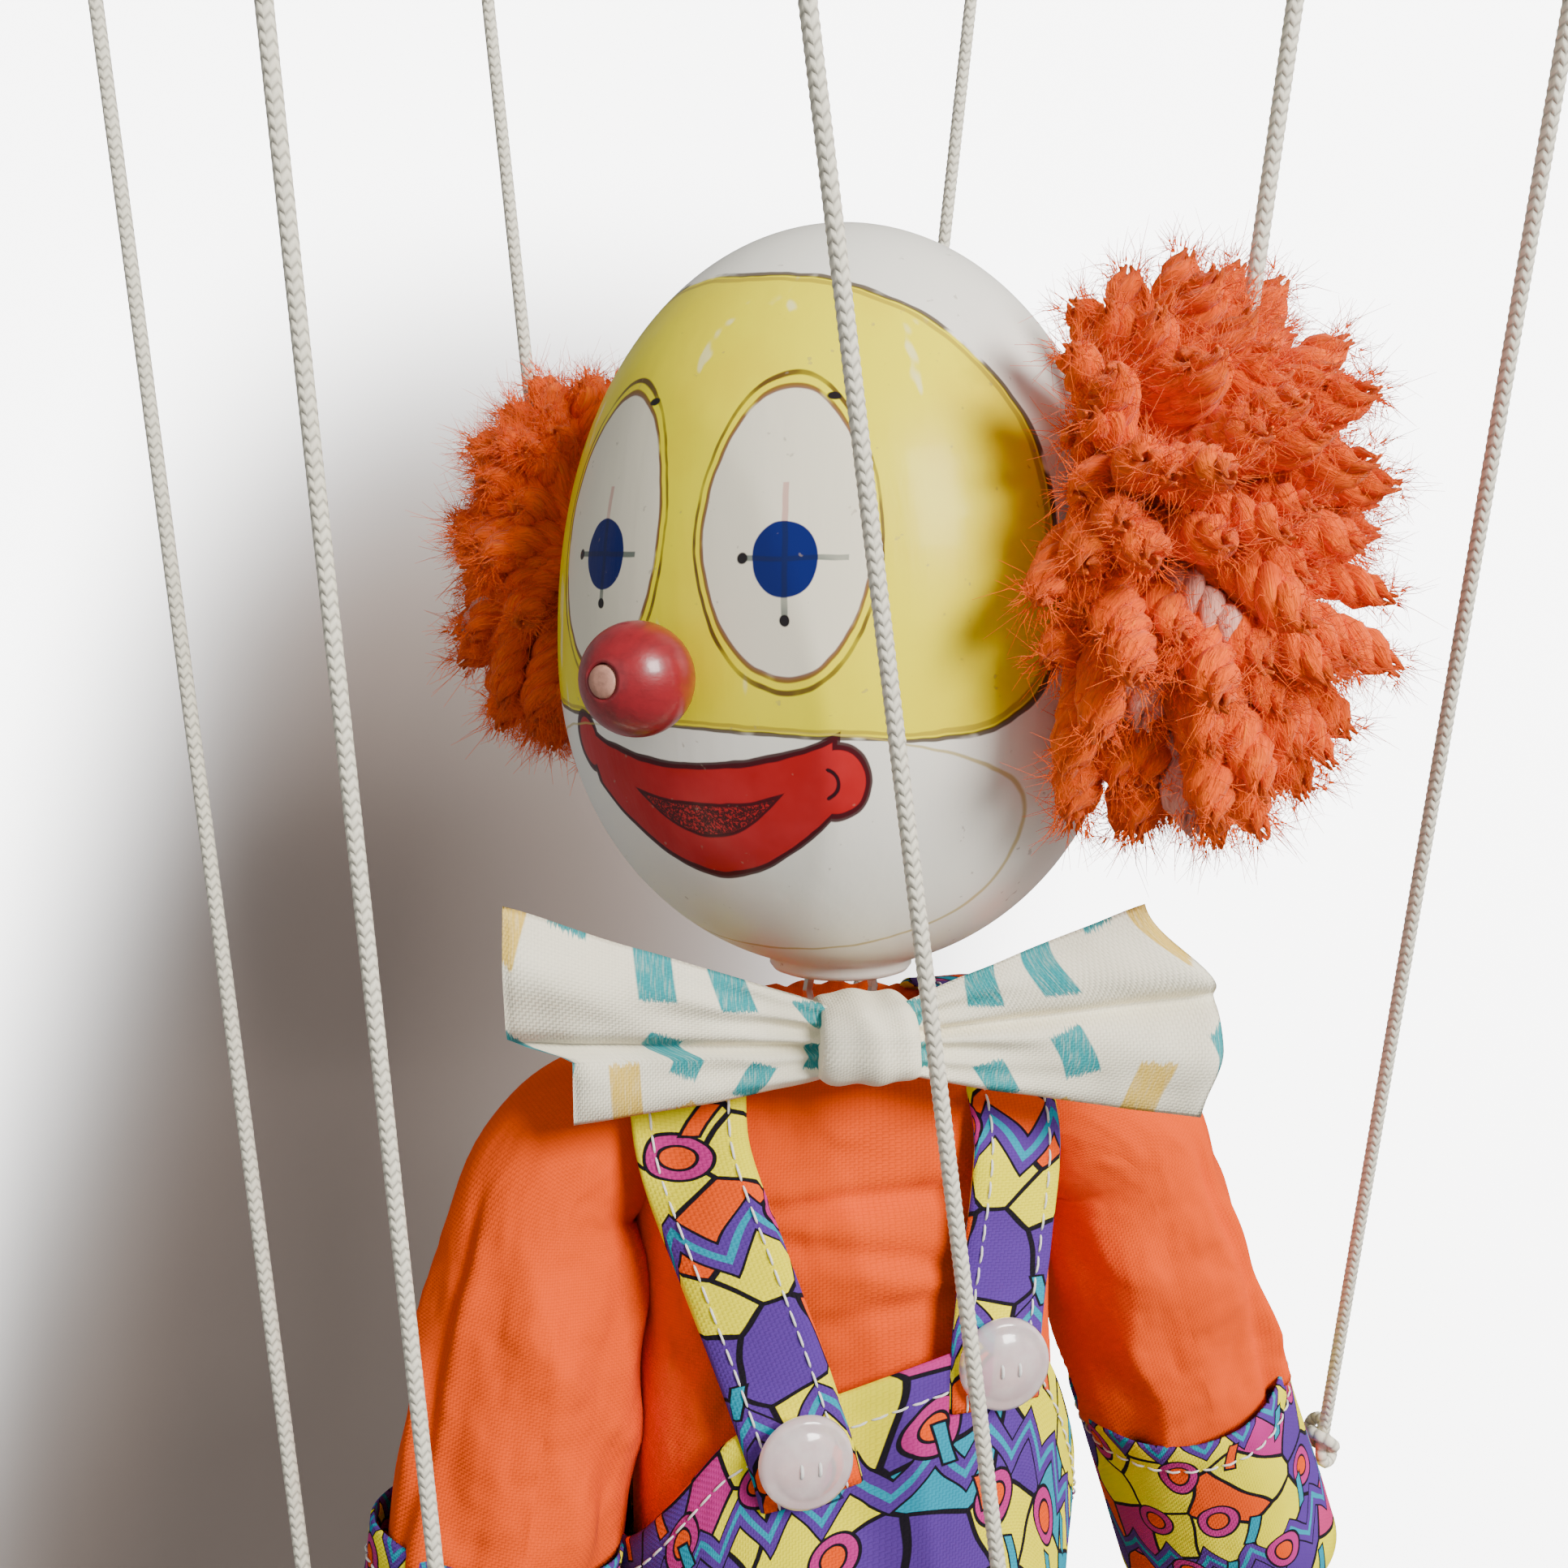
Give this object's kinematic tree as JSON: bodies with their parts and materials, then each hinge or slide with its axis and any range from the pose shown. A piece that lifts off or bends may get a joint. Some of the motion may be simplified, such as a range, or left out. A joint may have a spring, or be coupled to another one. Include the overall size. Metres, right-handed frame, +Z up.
{
  "type": "clown marionette",
  "caption": "Wooden clown marionette in cloth clothes with yarn hair and a bow tie, its head and limbs hinged and hung by cords from a crossed-bar control.",
  "frame": {"origin": "middle of the top face of the control's main bar, above the head bar", "axes": "+Z up along the hanging figure; its chest faces -Y and its left hand is at +X; the head and the control face 48 degrees to its right"},
  "size_m": [0.1838, 0.1805, 0.6021],
  "materials": {
    "white_gloss_paint": "gloss white paint",
    "red_stained_wood": "red stain and varnish",
    "bare_wood": "sanded",
    "orange_yarn": "bulky plied yarn",
    "orange_cotton": "plain weave",
    "printed_cotton": "bright geometric print",
    "cream_cotton": "cotton with brushed dabs",
    "clear_plastic": "clear pinkish",
    "bright_steel": "plated wire",
    "white_cord": "braided",
    "red_gloss_paint": "gloss red paint"
  },
  "bodies": {
    "torso": {"torso_block": "bare_wood", "shirt_body": "orange_cotton", "dungarees_body": "printed_cotton", "right_strap": "printed_cotton", "left_strap": "printed_cotton", "right_strap_button": "clear_plastic", "left_strap_button": "clear_plastic", "bow_tie_wings": "cream_cotton", "bow_tie_knot": "cream_cotton", "shoulder_wire": "bright_steel", "hip_wire": "bright_steel", "torso_neck_eye": "bright_steel", "seat_eye": "bright_steel", "main_bar": "bare_wood", "head_bar": "bare_wood", "hand_bar": "bare_wood", "leg_bar": "bare_wood", "head_bar_screw": "bright_steel", "hand_bar_screw": "bright_steel", "leg_bar_screw": "bright_steel", "seat_cord": "white_cord", "right_head_cord": "white_cord", "right_hand_cord": "white_cord", "right_knee_cord": "white_cord", "left_head_cord": "white_cord", "left_hand_cord": "white_cord", "left_knee_cord": "white_cord"},
    "head": {"head": "white_gloss_paint", "nose_bead": "red_stained_wood", "nose_peg": "bare_wood", "right_hair_tuft": "orange_yarn", "left_hair_tuft": "orange_yarn", "right_ear_eye": "bright_steel", "left_ear_eye": "bright_steel", "head_neck_eye": "bright_steel"},
    "right_arm": {"right_arm": "bare_wood", "right_sleeve": "orange_cotton", "right_cuff": "printed_cotton", "right_wrist_pin": "bright_steel"},
    "right_hand": {"right_hand": "white_gloss_paint"},
    "right_thigh": {"right_thigh": "bare_wood", "right_trouser_thigh": "printed_cotton", "right_knee_pin": "bright_steel"},
    "right_shin": {"right_shin": "bare_wood", "right_trouser_shin": "printed_cotton"},
    "right_shoe": {"right_shoe": "red_gloss_paint", "right_ankle_pin": "bright_steel"},
    "left_arm": {"left_arm": "bare_wood", "left_sleeve": "orange_cotton", "left_cuff": "printed_cotton", "left_wrist_pin": "bright_steel"},
    "left_hand": {"left_hand": "white_gloss_paint"},
    "left_thigh": {"left_thigh": "bare_wood", "left_trouser_thigh": "printed_cotton", "left_knee_pin": "bright_steel"},
    "left_shin": {"left_shin": "bare_wood", "left_trouser_shin": "printed_cotton"},
    "left_shoe": {"left_shoe": "red_gloss_paint", "left_ankle_pin": "bright_steel"}
  },
  "joints": [
    {"name": "head_turn", "type": "hinge", "parent": "torso", "child": "head", "pos_m": [0, 0, -0.32], "axis": [0, 0, 1], "range_deg": [-7, 70], "deforming": ["right_head_cord", "left_head_cord"]},
    {"name": "right_shoulder", "type": "hinge", "parent": "torso", "child": "right_arm", "pos_m": [-0.0325, 0, -0.33725], "axis": [-1, 0, 0], "range_deg": [-32, 58], "deforming": ["right_sleeve", "right_hand_cord"]},
    {"name": "right_wrist", "type": "hinge", "parent": "right_arm", "child": "right_hand", "pos_m": [-0.04743, -0.00296, -0.4219], "axis": [-1, 0, 0], "range_deg": [-45, 45]},
    {"name": "right_hip", "type": "hinge", "parent": "torso", "child": "right_thigh", "pos_m": [-0.0155, 0, -0.426], "axis": [-1, 0, 0], "range_deg": [-25, 75], "deforming": ["right_trouser_thigh", "right_knee_cord", "dungarees_body"]},
    {"name": "right_knee", "type": "hinge", "parent": "right_thigh", "child": "right_shin", "pos_m": [-0.03081, 0, -0.5086], "axis": [-1, 0, 0], "range_deg": [-95, 0], "deforming": ["right_trouser_shin"]},
    {"name": "right_ankle", "type": "hinge", "parent": "right_shin", "child": "right_shoe", "pos_m": [-0.03081, 0, -0.5866], "axis": [-1, 0, 0], "range_deg": [-18, 18]},
    {"name": "left_shoulder", "type": "hinge", "parent": "torso", "child": "left_arm", "pos_m": [0.0325, 0, -0.33725], "axis": [-1, 0, 0], "range_deg": [-18, 72], "deforming": ["left_sleeve", "left_hand_cord"]},
    {"name": "left_wrist", "type": "hinge", "parent": "left_arm", "child": "left_hand", "pos_m": [0.06472, 0.01658, -0.41525], "axis": [-1, 0, 0], "range_deg": [-45, 45]},
    {"name": "left_hip", "type": "hinge", "parent": "torso", "child": "left_thigh", "pos_m": [0.0155, 0, -0.426], "axis": [-1, 0, 0], "range_deg": [-25, 75], "deforming": ["left_trouser_thigh", "left_knee_cord", "dungarees_body"]},
    {"name": "left_knee", "type": "hinge", "parent": "left_thigh", "child": "left_shin", "pos_m": [0.03081, 0, -0.5086], "axis": [-1, 0, 0], "range_deg": [-95, 0], "deforming": ["left_trouser_shin"]},
    {"name": "left_ankle", "type": "hinge", "parent": "left_shin", "child": "left_shoe", "pos_m": [0.03081, 0, -0.5866], "axis": [-1, 0, 0], "range_deg": [-18, 18]}
  ]
}
